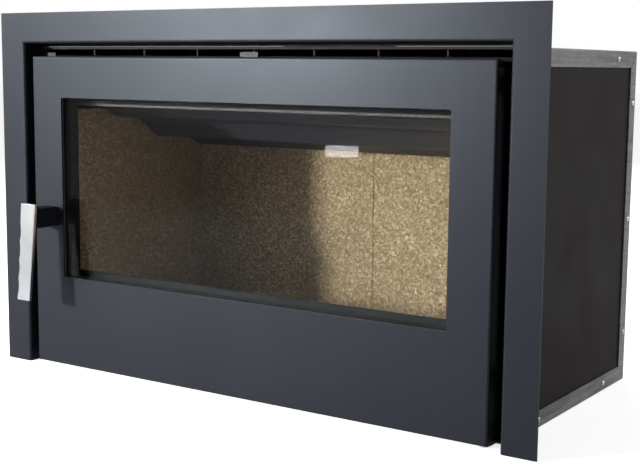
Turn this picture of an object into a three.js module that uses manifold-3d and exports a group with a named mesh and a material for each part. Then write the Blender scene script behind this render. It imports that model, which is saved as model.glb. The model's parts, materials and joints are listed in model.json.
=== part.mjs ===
// Built-in wood-burning fireplace insert: a galvanised casing round a welded
// firebox, a three-sided trim frame, and a glazed door hung on the right.
// Millimetres, +Z up. X runs across the front, Y runs back into the chimney
// breast, and Y = 0 is the front face of the trim until the last lines, which
// move the origin to the middle of the casing's underside.

import * as THREE from 'three';
import { mergeVertices } from 'three/addons/utils/BufferGeometryUtils.js';
import Module from 'manifold-3d';

const wasm = await Module();
wasm.setup();

// ---------------------------------------------------------------- sizes

// fits
const GAP = 0.3;              // between pieces that touch
const RUNNING = 0.25;         // radial play of a turning piece
const ROUND = 32;             // sides of a small round piece
const BEND_STEPS = 3;         // steps in a sheet's bend

// casing
const CASING_WIDTH = 705;
const CASING_HEIGHT = 432.5;
const CASING_FRONT = 34;      // behind the trim's front face
const CASING_DEPTH = 357;
const CASING_SHEET = 1.5;
const CASING_FLANGE = 21;
const CASING_BEND = 1;
const CASING_LIP = 3.2;       // fold along the top sheet's front edge
const MITRE_GAP = 0.5;
const RIVET_HEAD_RADIUS = 3.4;
const RIVET_HEAD_HEIGHT = 1.7;
const RIVET_SHANK_RADIUS = 2;
const RIVET_SHANK_LENGTH = 5;
const RIVET_SIDES = 12;
const RIVET_INSET = 10.6;     // from the casing's edge to a rivet
const RIVET_CORNER = 66;      // from the casing's corner to the first rear rivet
const RIVET_TOP_SETBACK = 67; // from the casing's back
const RIVET_BOTTOM_SETBACK = 76;
const RIVET_BOTTOM_PITCH = 203;

// firebox, inside the casing
const FIREBOX_SIDE_SPACE = 11.1; // air space between firebox and casing
const FIREBOX_TOP_SPACE = 11.5;
const FIREBOX_REAR_SPACE = 34.5;
const FIREBOX_BOTTOM = 33;
const FIREBOX_WALL = 3;
const FRONT_FRAME_SETBACK = 2; // from the casing's front edge
const FRONT_FRAME_SHEET = 4;
const MOUTH_SIDE_BAR = 41.4;
const MOUTH_TOP_BAR = 63;
const MOUTH_BOTTOM = 130;
const MOUTH_CORNER = 4;
const INLET_SIDE_BAR = 51.4;
const INLET_BOTTOM = 6;
const INLET_TOP = 28;
const FIN_COUNT = 7;
const FIN_FLUE_ROOM = 3;      // between the collar's flange and the fins beside it
const FIN_SHEET = 2;
const FIN_END_ROOM = 2;       // from the front frame's face to the fins
const FIN_REAR_ROOM = 6.5;
const RAIL_INSET = 91.4;      // from the firebox's side
const RAIL_SHEET = 3;
const RAIL_FOOT = 30;
const RAIL_FRONT_ROOM = 20;
const RAIL_REAR_ROOM = 11.5;

// lining boards and baffle
const BOARD_SIDE = 25;
const BOARD_BACK = 30;
const BOARD_FLOOR = 25;
const BAFFLE_SHEET = 4;
const BAFFLE_BEND = 6;
const BAFFLE_SETBACK = 67.7;  // from the firebox's front to the baffle
const BAFFLE_FRONT_DROP = 69; // each drop is from the firebox's ceiling
const BAFFLE_UPPER_DROP = 80;
const BAFFLE_LOWER_DROP = 113;
const BAFFLE_REST_DROP = 129;
const BAFFLE_LIP_RUN = 22;
const BAFFLE_UPPER_RUN = 48;
const BAFFLE_UPPER_FALL = 5;
const BAFFLE_STEP_RUN = 44;
const BAFFLE_LOWER_FALL = 3;
const BAFFLE_TAIL_RUN = 33;
const BAFFLE_REST_OVERHANG = 2;

// air-wash deflector behind the top of the mouth
const DEFLECTOR_SHEET = 2;
const DEFLECTOR_BEND = 2;
const DEFLECTOR_ROOM = 2.3;   // from the firebox's front
const DEFLECTOR_SHOW = 4;     // how far its lip shows below the mouth's edge
const DEFLECTOR_LIP = 10;
const DEFLECTOR_DEPTH = 22;
const DEFLECTOR_UPRIGHT = 40;

// flue collar
const FLUE_RADIUS = 75;
const FLUE_WALL = 2;
const FLUE_SETBACK = 126.5;   // from the firebox's rear to the collar's middle
const FLUE_RISE = 51.5;       // above the casing
const FLUE_FLANGE = 9;
const FLUE_FLANGE_SHEET = 3;
const FLUE_ROOM = 2;          // round the collar, in the casing
const FLUE_SIDES = 64;

// air slider on the front frame
const SLIDER_SHEET = 2;
const SLIDER_END = 35;        // from a stud to the slider's end
const SLIDER_HEIGHT = 16;
const SLIDER_DROP = 28;       // from the firebox's top to the slider's foot
const SLIDER_CORNER = 2;
const SLIDER_TAB_WIDTH = 27;
const SLIDER_TAB_RISE = 6.6;  // above the door
const SLIDER_REST = -4;       // where the tab stands at rest
const AIR_HOLE_COUNT = 6;
const AIR_HOLE_PITCH = 44;
const AIR_HOLE_WIDTH = 22;
const AIR_HOLE_HEIGHT = 7;
const STUD_RADIUS = 2.5;
const STUD_REACH = 40;        // from the last air hole to a stud
const STUD_HEAD_RADIUS = 4.5;
const STUD_HEAD = 1.5;

// door
const DOOR_OVERHANG = 0.9;    // past the firebox's side
const DOOR_TOP_ROOM = 1.4;    // below the firebox's top
const DOOR_BOTTOM = 4.3;
const DOOR_SHEET = 2.5;
const DOOR_DEPTH = 30;
const DOOR_BEND = 0.8;
const WINDOW_SIDE_BAR = 52.8;
const WINDOW_TOP_BAR = 54.2;
const WINDOW_BOTTOM = 124.9;
const WINDOW_CORNER = 2;
const GLASS_OVERLAP = 9;
const GLASS_THICKNESS = 4;
const GASKET_THICKNESS = 1.6;
const RETAINER_SHEET = 2;
const RETAINER_CHANNEL = 10;
const RETAINER_SETBACK = 2;
const RETAINER_ROOM = 1.6;    // between its rear edge and the front frame
const PANEL_SHEET = 2;
const PANEL_SETBACK = 1;      // from the door's rear edge
const SEAL_RADIUS = 3.2;
const SEAL_SIDES = 12;
const SEAL_MARGIN = 20;       // from the window's edge to the rope's centre
const SEAL_RIB = 1.5;
const SEAL_RIB_HEIGHT = 3.4;
const SEAL_CORNER = 12;
const TAB_WIDTH = 15;
const TAB_INSET = 33.8;
const TAB_SETBACK = 1;
const TAB_HEIGHT = 4.6;

// hinges
const HINGE_INSET = 10.8;     // from the door's right edge to the pins
const HINGE_DEPTH = 16;
const PIN_RADIUS = 4;
const BUSH_WALL = 3.75;
const BUSH_LENGTH = 22;
const BUSH_PLAY = 0.5;        // between a bush's end and the arm
const ARM_SHEET = 5;
const ARM_RADIUS = 9.5;
const ARM_TOP_ROOM = 3;       // from the door's top to the upper arm
const ARM_BOTTOM_DROP = 1.3;  // the lower arm's underside, below the door
const ARM_NOTCH = 13.5;       // from the pins to the door's notches
const NOTCH_ROOM = 1.3;
const NOTCH_SLOPE = 5;        // how far the lower notch rises towards the back
const PIN_HEAD_RADIUS = 6.5;
const PIN_HEAD = 2;

// trim frame
const TRIM_DOOR_GAP = 14.9;   // between the door and the trim's side bars
const TRIM_CASING_GAP = 4;    // between the casing's top and the top bar
const TRIM_SIDE_BAR = 42.8;
const TRIM_TOP_BAR = 40.5;
const TRIM_SHEET = 2.5;
const TRIM_SIDE_LAP = 12;     // the side returns reach this far along the casing
const TRIM_TOP_LAP = 4;
const TRIM_BEND = 1.2;

// handle and latch
const HANDLE_INSET = 31.3;    // from the door's left edge
const HANDLE_RISE = 202.7;    // from the door's foot
const STEM_WIDTH = 26;
const STEM_LENGTH = 36;
const STEM_CORNER = 3;
const STEM_GAP = 0.5;
const GRIP_RISE = 19;         // from the spindle to the grip's top
const GRIP_LENGTH = 128;
const GRIP_WIDTH = 26;
const GRIP_TAPER = 3.5;
const GRIP_THICKNESS = 5;
const GRIP_EDGE = 0.8;
const GRIP_LEAN = 4.5;        // degrees
const SCALLOP_COUNT = 4;
const SCALLOP_PITCH = 24;
const SCALLOP_DEPTH = 1.6;
const SCALLOP_START = 27;
const BACKING_THICKNESS = 3;
const BACKING_SETBACK = 2;    // how far it stays inside the grip's outline
const BACKING_SEAT = 1.1;     // how far the stem runs into the leaning strip
const SPINDLE_RADIUS = 5;
const CAM_THICKNESS = 4;
const CAM_SETBACK = 14.5;     // behind the door's front sheet
const CAM_REACH = 14;
const CAM_HUB_RADIUS = 8;
const CAM_TIP_HEIGHT = 8;
const KEEPER_SHEET = 4;
const KEEPER_HEIGHT = 30;
const KEEPER_CLEAR = 0.4;     // the lip stops this far short of the cam
const KEEPER_LIP = 4;
const KEEPER_ROOM = 3;        // room round the keeper in the door's inner panel

// brackets that hold the trim frame
const BRACKET_SHEET = 1.5;
const BRACKET_HEIGHT = 24;
const BRACKET_REACH = 22;
const BRACKET_FOOT = 24;
const BRACKET_LOW = 70;
const BRACKET_TOP_DROP = 40.5;

// ---------------------------------------------------------------- derived

const HALF_CASING = CASING_WIDTH / 2;
const CASING_BACK = CASING_FRONT + CASING_DEPTH;
const PANEL_OUTER = HALF_CASING - CASING_SHEET - GAP;

const HALF_FIREBOX = HALF_CASING - FIREBOX_SIDE_SPACE;
const FIREBOX_INSIDE = HALF_FIREBOX - FIREBOX_WALL;
const FIREBOX_TOP = CASING_HEIGHT - FIREBOX_TOP_SPACE;
const FIREBOX_REAR = CASING_BACK - FIREBOX_REAR_SPACE;
const FRONT_FRAME_FACE = CASING_FRONT + FRONT_FRAME_SETBACK;
const FRONT_FRAME_REAR = FRONT_FRAME_FACE + FRONT_FRAME_SHEET;
const FIREBOX_FRONT = FRONT_FRAME_REAR + GAP;
const CEILING = FIREBOX_TOP - FIREBOX_WALL;
const CHAMBER_FLOOR = FIREBOX_BOTTOM + FIREBOX_WALL;
const FIREBOX_REAR_INSIDE = FIREBOX_REAR - FIREBOX_WALL;
const HALF_MOUTH = HALF_FIREBOX - MOUTH_SIDE_BAR;
const MOUTH_TOP = FIREBOX_TOP - MOUTH_TOP_BAR;
const FLUE_DEPTH = FIREBOX_REAR - FLUE_SETBACK;
const FLUE_TOP = CASING_HEIGHT + FLUE_RISE;
const FIN_PITCH = FLUE_RADIUS + FLUE_FLANGE + FIN_FLUE_ROOM + FIN_SHEET / 2;

const HALF_DOOR = HALF_FIREBOX + DOOR_OVERHANG;
const DOOR_TOP = FIREBOX_TOP - DOOR_TOP_ROOM;
const HALF_WINDOW = HALF_DOOR - WINDOW_SIDE_BAR;
const WINDOW_TOP = DOOR_TOP - WINDOW_TOP_BAR;
const PANEL_REAR = DOOR_DEPTH - PANEL_SETBACK;
const PANEL_FACE = PANEL_REAR - PANEL_SHEET;
const HINGE_X = HALF_DOOR - HINGE_INSET;
const BUSH_RADIUS = PIN_RADIUS + RUNNING + BUSH_WALL;
const ARM_UPPER = DOOR_TOP - ARM_TOP_ROOM - ARM_SHEET;
const ARM_LOWER = DOOR_BOTTOM - ARM_BOTTOM_DROP;

const TRIM_INSIDE = HALF_DOOR + TRIM_DOOR_GAP;
const HALF_TRIM = TRIM_INSIDE + TRIM_SIDE_BAR;
const TRIM_UNDERSIDE = CASING_HEIGHT + TRIM_CASING_GAP;
const TRIM_HEIGHT = TRIM_UNDERSIDE + TRIM_TOP_BAR;
const TRIM_SIDE_RETURN = CASING_FRONT + TRIM_SIDE_LAP;
const TRIM_TOP_RETURN = CASING_FRONT + TRIM_TOP_LAP;

// lining: outer faces stand a gap inside the firebox walls
const BOARD_OUTER = FIREBOX_INSIDE - GAP;
const BOARD_INNER = BOARD_OUTER - BOARD_SIDE;
const FLOOR_TOP = CHAMBER_FLOOR + GAP + BOARD_FLOOR;
const BACK_BOARD_REAR = FIREBOX_REAR_INSIDE - GAP;
const BACK_BOARD_FACE = BACK_BOARD_REAR - BOARD_BACK;
const BOARD_FRONT = FIREBOX_FRONT + GAP;
const BAFFLE_FRONT = FIREBOX_FRONT + BAFFLE_SETBACK;
const BAFFLE_REST = CEILING - BAFFLE_REST_DROP;

// window layers, from the door's front sheet back
const GASKET_FACE = DOOR_SHEET + GAP;
const GLASS_FACE = GASKET_FACE + GASKET_THICKNESS + GAP;
const RETAINER_FACE = GLASS_FACE + GLASS_THICKNESS + GAP;
const RETAINER_REAR = FRONT_FRAME_FACE - RETAINER_ROOM;

// handle, from the door's front face forwards, and the latch behind it
const HANDLE_X = HANDLE_INSET - HALF_DOOR;
const HANDLE_Z = DOOR_BOTTOM + HANDLE_RISE;
const GRIP_TOP = HANDLE_Z + GRIP_RISE;
const STEM_BACK = -STEM_GAP;
const STEM_FRONT = STEM_BACK - STEM_LENGTH;
const CAM_FACE = DOOR_SHEET + CAM_SETBACK;
const CAM_REAR = CAM_FACE + CAM_THICKNESS;

// ---------------------------------------------------------------- tools

const finish = {
  trim: { color: 0x3b3e45, roughness: 0.55, metalness: 0.3 },
  door: { color: 0x44474e, roughness: 0.55, metalness: 0.3 },
  galvanised: { color: 0x8d9194, roughness: 0.45, metalness: 0.8 },
  sidePanel: { color: 0x2b2827, roughness: 0.6, metalness: 0.2 },
  firebox: { color: 0x24262b, roughness: 0.7, metalness: 0.2 },
  board: { color: 0x9a886c, roughness: 0.95, metalness: 0 },
  baffle: { color: 0x2c2f36, roughness: 0.75, metalness: 0.3 },
  glass: { color: 0x1a1c20, roughness: 0.05, metalness: 0, transparent: true, opacity: 0.3 },
  gasket: { color: 0x15161a, roughness: 0.95, metalness: 0 },
  stainless: { color: 0xd2d5da, roughness: 0.28, metalness: 1 },
  bracket: { color: 0x8a8a92, roughness: 0.5, metalness: 0.6 },
  black: { color: 0x1d1e21, roughness: 0.5, metalness: 0.3 },
  bright: { color: 0xb9bcc2, roughness: 0.35, metalness: 1 },
};

const object = new THREE.Group();

// adds one named piece made from a geometry
function piece(name, geometry, look) {
  const mesh = new THREE.Mesh(geometry, new THREE.MeshStandardMaterial(look));
  mesh.name = name;
  object.add(mesh);
  return mesh;
}

// a closed geometry as a solid that can be joined and cut
function solid(geometry) {
  const bare = geometry.clone();
  bare.deleteAttribute('normal');
  bare.deleteAttribute('uv');
  const merged = mergeVertices(bare, 1e-4);
  return new wasm.Manifold(new wasm.Mesh({
    numProp: 3,
    vertProperties: new Float32Array(merged.attributes.position.array),
    triVerts: new Uint32Array(merged.index.array),
  }));
}

// a solid back as a geometry
function geometryOf(body) {
  const mesh = body.getMesh();
  const geometry = new THREE.BufferGeometry();
  geometry.setAttribute('position', new THREE.BufferAttribute(new Float32Array(mesh.vertProperties), 3));
  geometry.setIndex(new THREE.BufferAttribute(new Uint32Array(mesh.triVerts), 1));
  geometry.computeVertexNormals();
  return geometry;
}

function join(...bodies) {
  return bodies.reduce((sum, body) => sum.add(body));
}

function cut(body, ...tools) {
  return tools.reduce((rest, tool) => rest.subtract(tool), body);
}

function block(x0, x1, y0, y1, z0, z1) {
  const box = new THREE.BoxGeometry(x1 - x0, y1 - y0, z1 - z0);
  return solid(box.translate((x0 + x1) / 2, (y0 + y1) / 2, (z0 + z1) / 2));
}

// a shape drawn in X and Y, raised along Z
function alongZ(shape, z0, z1, steps = BEND_STEPS) {
  const options = { depth: z1 - z0, bevelEnabled: false, curveSegments: steps };
  return solid(new THREE.ExtrudeGeometry(shape, options).translate(0, 0, z0));
}

// a shape drawn in X and Z, run along Y
function alongY(shape, y0, y1, steps = BEND_STEPS) {
  const options = { depth: y1 - y0, bevelEnabled: false, curveSegments: steps };
  return solid(new THREE.ExtrudeGeometry(shape, options).rotateX(Math.PI / 2).translate(0, y1, 0));
}

// a shape drawn in Y and Z, run along X
function alongX(shape, x0, x1, steps = BEND_STEPS) {
  const options = { depth: x1 - x0, bevelEnabled: false, curveSegments: steps };
  const turn = new THREE.Matrix4().makeBasis(
    new THREE.Vector3(0, 1, 0),
    new THREE.Vector3(0, 0, 1),
    new THREE.Vector3(1, 0, 0),
  );
  return solid(new THREE.ExtrudeGeometry(shape, options).applyMatrix4(turn).translate(x0, 0, 0));
}

function polygon(points) {
  return new THREE.Shape(points.map(([a, b]) => new THREE.Vector2(a, b)));
}

// points along an arc
function arc(x, y, radius, from, to, clockwise = false, steps = BEND_STEPS) {
  return new THREE.EllipseCurve(x, y, radius, radius, from, to, clockwise).getPoints(steps);
}

// a rectangle with round corners
function roundedRectangle(a0, a1, b0, b1, radius) {
  const quarter = Math.PI / 2;
  return new THREE.Shape([
    ...arc(a1 - radius, b0 + radius, radius, -quarter, 0),
    ...arc(a1 - radius, b1 - radius, radius, 0, quarter),
    ...arc(a0 + radius, b1 - radius, radius, quarter, 2 * quarter),
    ...arc(a0 + radius, b0 + radius, radius, 2 * quarter, 3 * quarter),
  ]);
}

// the section of a folded sheet: its first face follows the points, and the
// sheet lies on the left of that face with a round bend at each corner
function folded(points, sheet, insideBend) {
  const at = points.map(([a, b]) => new THREE.Vector2(a, b));
  const runs = at.slice(1).map((p, i) => p.clone().sub(at[i]).normalize());
  const left = runs.map((d) => new THREE.Vector2(-d.y, d.x));
  const face = [at[0]];
  const back = [at[0].clone().addScaledVector(left[0], sheet)];
  for (let i = 1; i < runs.length; i += 1) {
    const side = Math.sign(runs[i - 1].cross(runs[i]));
    const radius = side > 0 ? insideBend + sheet : insideBend;
    const reach = side * radius / (1 + left[i - 1].dot(left[i]));
    const centre = left[i - 1].clone().add(left[i]).multiplyScalar(reach).add(at[i]);
    const from = left[i - 1].clone().multiplyScalar(-side).angle();
    const to = left[i].clone().multiplyScalar(-side).angle();
    face.push(...arc(centre.x, centre.y, radius, from, to, side < 0));
    back.push(...arc(centre.x, centre.y, radius - side * sheet, from, to, side < 0));
  }
  const end = at[at.length - 1];
  face.push(end);
  back.push(end.clone().addScaledVector(left[left.length - 1], sheet));
  return new THREE.Shape([...face, ...back.reverse()]);
}

// a round bar or hole along Z, Y or X
function roundZ(x, y, radius, z0, z1, sides = ROUND) {
  const bar = new THREE.CylinderGeometry(radius, radius, z1 - z0, sides).rotateX(Math.PI / 2);
  return solid(bar.translate(x, y, (z0 + z1) / 2));
}

function roundY(x, z, radius, y0, y1, sides = ROUND) {
  const bar = new THREE.CylinderGeometry(radius, radius, y1 - y0, sides);
  return solid(bar.translate(x, (y0 + y1) / 2, z));
}

function roundX(y, z, radius, x0, x1, sides = ROUND) {
  const bar = new THREE.CylinderGeometry(radius, radius, x1 - x0, sides).rotateZ(Math.PI / 2);
  return solid(bar.translate((x0 + x1) / 2, y, z));
}

// a solid of revolution about a vertical line
function revolve(x, y, profile, sides = ROUND) {
  const points = profile.map(([r, z]) => new THREE.Vector2(r, z));
  const lathe = new THREE.LatheGeometry(points, sides).rotateX(Math.PI / 2);
  return solid(lathe.translate(x, y, 0));
}

function mirrorX(body) {
  return body.mirror([1, 0, 0]);
}

// a rectangular ring standing in X and Z
function ring(outer, inner, y0, y1, steps = BEND_STEPS) {
  return cut(alongY(outer, y0, y1, steps), alongY(inner, y0 - 1, y1 + 1, steps));
}

// ---------------------------------------------------------------- trim frame

function trimFrame() {
  const sideBar = alongZ(folded([
    [TRIM_INSIDE, TRIM_SIDE_RETURN],
    [TRIM_INSIDE, 0],
    [HALF_TRIM, 0],
  ], TRIM_SHEET, TRIM_BEND), 0, TRIM_UNDERSIDE + TRIM_SHEET);
  const corner = block(
    TRIM_INSIDE + TRIM_SHEET + TRIM_BEND, HALF_TRIM,
    0, TRIM_SHEET,
    TRIM_UNDERSIDE, TRIM_HEIGHT,
  );
  const side = join(sideBar, corner);
  const topBar = alongX(folded([
    [0, TRIM_HEIGHT],
    [0, TRIM_UNDERSIDE],
    [TRIM_TOP_RETURN, TRIM_UNDERSIDE],
    [TRIM_TOP_RETURN, CASING_HEIGHT + GAP],
  ], TRIM_SHEET, TRIM_BEND), -HALF_TRIM, HALF_TRIM);
  const returnEnd = TRIM_INSIDE + TRIM_SHEET;
  const behind = block(
    returnEnd, HALF_TRIM + 1,
    TRIM_SHEET, TRIM_TOP_RETURN + 2 * TRIM_SHEET,
    CASING_HEIGHT, TRIM_HEIGHT + 1,
  );
  return join(cut(topBar, behind, mirrorX(behind)), side, mirrorX(side));
}

// folded from the casing's side, out behind the trim's return, and forward
// along that return
function trimBracket(level) {
  const foot = PANEL_OUTER + GAP;
  const jog = TRIM_SIDE_RETURN + BRACKET_SHEET / 2;
  const reach = TRIM_INSIDE + TRIM_SHEET + GAP;
  return alongZ(folded([
    [foot, jog + BRACKET_FOOT],
    [foot, jog],
    [reach, jog],
    [reach, jog - BRACKET_REACH],
  ], BRACKET_SHEET, BRACKET_SHEET / 2), level - BRACKET_HEIGHT / 2, level + BRACKET_HEIGHT / 2);
}

piece('trim_frame', geometryOf(trimFrame()), finish.trim);
for (const [place, level] of [['lower', BRACKET_LOW], ['upper', CASING_HEIGHT - BRACKET_TOP_DROP]]) {
  piece(`trim_bracket_right_${place}`, geometryOf(trimBracket(level)), finish.galvanised);
  piece(`trim_bracket_left_${place}`, geometryOf(mirrorX(trimBracket(level))), finish.galvanised);
}

// ---------------------------------------------------------------- casing

const rivetSpots = [
  ['top', CASING_BACK - RIVET_TOP_SETBACK, CASING_HEIGHT - RIVET_INSET],
  ['rear_lower', CASING_BACK - RIVET_INSET, RIVET_CORNER],
  ['rear_middle', CASING_BACK - RIVET_INSET, CASING_HEIGHT / 2],
  ['rear_upper', CASING_BACK - RIVET_INSET, CASING_HEIGHT - RIVET_CORNER],
  ['bottom_rear', CASING_BACK - RIVET_BOTTOM_SETBACK, RIVET_INSET],
  ['bottom_front', CASING_BACK - RIVET_BOTTOM_SETBACK - RIVET_BOTTOM_PITCH, RIVET_INSET],
];

// the shank runs through the flange and the side panel, and is swaged inside
function rivet(y, z) {
  const dome = arc(0, 0, 1, 0, Math.PI / 2, false, 4)
    .map((p) => [p.x * RIVET_HEAD_RADIUS, p.y * RIVET_HEAD_HEIGHT]);
  const tail = -RIVET_SHANK_LENGTH;
  const head = GAP / 2;
  const profile = [
    [0, tail],
    [RIVET_SHANK_RADIUS, tail],
    [RIVET_SHANK_RADIUS, head],
    ...dome.map(([r, h]) => [r, h + head]),
  ];
  const lathe = new THREE.LatheGeometry(profile.map(([r, h]) => new THREE.Vector2(r, h)), RIVET_SIDES);
  return solid(lathe.rotateZ(-Math.PI / 2).translate(HALF_CASING, y, z));
}

const rivetHoles = join(...rivetSpots.map(([, y, z]) => {
  const radius = RIVET_SHANK_RADIUS + GAP / 2;
  const hole = roundX(y, z, radius, HALF_CASING - 2 * RIVET_SHANK_LENGTH, HALF_CASING + 1, RIVET_SIDES);
  return join(hole, mirrorX(hole));
}));

function bothFlanges(shape) {
  const inside = HALF_CASING - CASING_SHEET - CASING_BEND;
  const right = alongX(shape, inside, HALF_CASING + 1);
  return join(right, mirrorX(right));
}

function upsideDown(body) {
  return body.mirror([0, 0, 1]).translate([0, 0, CASING_HEIGHT]);
}

// the flanges of the top and back sheets meet on a line at 45 degrees
const flangeFoot = CASING_FLANGE + CASING_SHEET;
const topMitre = bothFlanges(polygon([
  [CASING_BACK - MITRE_GAP - flangeFoot, CASING_HEIGHT - flangeFoot],
  [CASING_BACK + 1, CASING_HEIGHT - flangeFoot],
  [CASING_BACK + 1, CASING_HEIGHT - CASING_SHEET],
  [CASING_BACK - MITRE_GAP - CASING_SHEET, CASING_HEIGHT - CASING_SHEET],
]));
const backMitre = bothFlanges(polygon([
  [CASING_BACK - flangeFoot, CASING_HEIGHT - MITRE_GAP - flangeFoot],
  [CASING_BACK + 1, CASING_HEIGHT - MITRE_GAP + 1],
  [CASING_BACK - flangeFoot, CASING_HEIGHT - MITRE_GAP + 1],
]));

// a sheet with a flange folded down each side, cut to the mitre
function flangedSheet() {
  const section = folded([
    [HALF_CASING, CASING_HEIGHT - CASING_FLANGE],
    [HALF_CASING, CASING_HEIGHT],
    [-HALF_CASING, CASING_HEIGHT],
    [-HALF_CASING, CASING_HEIGHT - CASING_FLANGE],
  ], CASING_SHEET, CASING_BEND);
  return cut(alongY(section, CASING_FRONT, CASING_BACK), topMitre);
}

function casingTop() {
  const lipEnd = PANEL_OUTER - CASING_SHEET - GAP;
  const lip = block(
    -lipEnd, lipEnd,
    CASING_FRONT, CASING_FRONT + CASING_SHEET,
    CASING_HEIGHT - CASING_LIP, CASING_HEIGHT - CASING_SHEET / 2,
  );
  const flueHole = roundZ(0, FLUE_DEPTH, FLUE_RADIUS + FLUE_ROOM, 0, FLUE_TOP, FLUE_SIDES);
  return cut(join(flangedSheet(), lip), flueHole, rivetHoles);
}

function casingBottom() {
  return cut(upsideDown(flangedSheet()), rivetHoles);
}

function casingBack() {
  const section = folded([
    [HALF_CASING, CASING_BACK - CASING_FLANGE],
    [HALF_CASING, CASING_BACK],
    [-HALF_CASING, CASING_BACK],
    [-HALF_CASING, CASING_BACK - CASING_FLANGE],
  ], CASING_SHEET, CASING_BEND);
  const clear = CASING_SHEET + GAP;
  const sheet = alongZ(section, clear, CASING_HEIGHT - clear);
  return cut(sheet, backMitre, upsideDown(backMitre), rivetHoles);
}

function casingSide() {
  const clear = CASING_SHEET + CASING_BEND;
  return cut(block(
    PANEL_OUTER - CASING_SHEET, PANEL_OUTER,
    CASING_FRONT, CASING_BACK - clear,
    clear, CASING_HEIGHT - clear,
  ), rivetHoles);
}

piece('casing_top', geometryOf(casingTop()), finish.galvanised);
piece('casing_bottom', geometryOf(casingBottom()), finish.galvanised);
piece('casing_back', geometryOf(casingBack()), finish.galvanised);
piece('casing_side_right', geometryOf(casingSide()), finish.sidePanel);
piece('casing_side_left', geometryOf(mirrorX(casingSide())), finish.sidePanel);
for (const [place, y, z] of rivetSpots) {
  piece(`rivet_right_${place}`, geometryOf(rivet(y, z)), finish.bright);
  piece(`rivet_left_${place}`, geometryOf(mirrorX(rivet(y, z))), finish.bright);
}

// ---------------------------------------------------------------- firebox

function fireboxShell() {
  const outside = block(
    -HALF_FIREBOX, HALF_FIREBOX,
    FIREBOX_FRONT, FIREBOX_REAR,
    FIREBOX_BOTTOM, FIREBOX_TOP,
  );
  const inside = block(
    -FIREBOX_INSIDE, FIREBOX_INSIDE,
    FIREBOX_FRONT - 1, FIREBOX_REAR_INSIDE,
    CHAMBER_FLOOR, CEILING,
  );
  const flueHole = roundZ(0, FLUE_DEPTH, FLUE_RADIUS + GAP, CEILING - 1, FIREBOX_TOP + 1, FLUE_SIDES);
  return cut(outside, inside, flueHole);
}

const sliderFoot = FIREBOX_TOP - SLIDER_DROP;
const sliderMiddle = sliderFoot + SLIDER_HEIGHT / 2;
const firstAirHole = AIR_HOLE_PITCH * (1 - AIR_HOLE_COUNT) / 2;
const studOffset = STUD_REACH - firstAirHole;

// a slot with round ends, drawn in X and Z
function oblong(x0, x1, z, width) {
  const radius = width / 2;
  const quarter = Math.PI / 2;
  return new THREE.Shape([
    ...arc(x1 - radius, z, radius, -quarter, quarter, false, 6),
    ...arc(x0 + radius, z, radius, quarter, 3 * quarter, false, 6),
  ]);
}

function airHoles(y0, y1) {
  const holes = Array.from({ length: AIR_HOLE_COUNT }, (_, i) => {
    const x = firstAirHole + i * AIR_HOLE_PITCH;
    const slot = oblong(x - AIR_HOLE_WIDTH / 2, x + AIR_HOLE_WIDTH / 2, sliderMiddle, AIR_HOLE_HEIGHT);
    return alongY(slot, y0, y1);
  });
  return join(...holes);
}

// the plate that the door shuts against, with the slider's headed studs
function frontFrame() {
  const plate = alongY(polygon([
    [-HALF_FIREBOX, CASING_SHEET + GAP],
    [HALF_FIREBOX, CASING_SHEET + GAP],
    [HALF_FIREBOX, FIREBOX_TOP],
    [-HALF_FIREBOX, FIREBOX_TOP],
  ]), FRONT_FRAME_FACE, FRONT_FRAME_REAR);
  const mouth = roundedRectangle(-HALF_MOUTH, HALF_MOUTH, MOUTH_BOTTOM, MOUTH_TOP, MOUTH_CORNER);
  const halfInlet = HALF_FIREBOX - INLET_SIDE_BAR;
  const inlet = roundedRectangle(-halfInlet, halfInlet, INLET_BOTTOM, INLET_TOP, MOUTH_CORNER);
  const before = FRONT_FRAME_FACE - 1;
  const after = FRONT_FRAME_REAR + 1;
  const headBack = FRONT_FRAME_FACE - SLIDER_SHEET - 2 * GAP;
  const studs = [-studOffset, studOffset].map((x) => join(
    roundY(x, sliderMiddle, STUD_RADIUS, headBack - STUD_HEAD / 2, FRONT_FRAME_FACE + 1, 16),
    roundY(x, sliderMiddle, STUD_HEAD_RADIUS, headBack - STUD_HEAD, headBack, 16),
  ));
  const holes = [mouth, inlet].map((outline) => alongY(outline, before, after));
  return join(cut(plate, ...holes, airHoles(before, after)), ...studs);
}

// it slides by one hole's width, from open to shut
function airSlider() {
  const y0 = FRONT_FRAME_FACE - GAP - SLIDER_SHEET;
  const y1 = FRONT_FRAME_FACE - GAP;
  const half = studOffset + SLIDER_END;
  const bar = roundedRectangle(-half, half, sliderFoot, sliderFoot + SLIDER_HEIGHT, SLIDER_CORNER);
  const tab = roundedRectangle(
    SLIDER_REST - SLIDER_TAB_WIDTH / 2, SLIDER_REST + SLIDER_TAB_WIDTH / 2,
    sliderMiddle, DOOR_TOP + SLIDER_TAB_RISE, SLIDER_CORNER / 2,
  );
  const reach = STUD_RADIUS + GAP;
  const slots = [-studOffset, studOffset].map((x) => (
    alongY(oblong(x - AIR_HOLE_WIDTH - reach, x + reach, sliderMiddle, 2 * reach), y0 - 1, y1 + 1)
  ));
  return cut(join(alongY(bar, y0, y1), alongY(tab, y0, y1)), airHoles(y0 - 1, y1 + 1), ...slots);
}

function deflector() {
  const face = FIREBOX_FRONT + DEFLECTOR_ROOM;
  const foot = MOUTH_TOP - DEFLECTOR_SHOW;
  const section = folded([
    [face + DEFLECTOR_DEPTH, CEILING - GAP],
    [face + DEFLECTOR_DEPTH, CEILING - DEFLECTOR_UPRIGHT],
    [face, foot + DEFLECTOR_LIP],
    [face, foot],
  ], DEFLECTOR_SHEET, DEFLECTOR_BEND);
  return alongX(section, -BOARD_OUTER, BOARD_OUTER);
}

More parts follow.
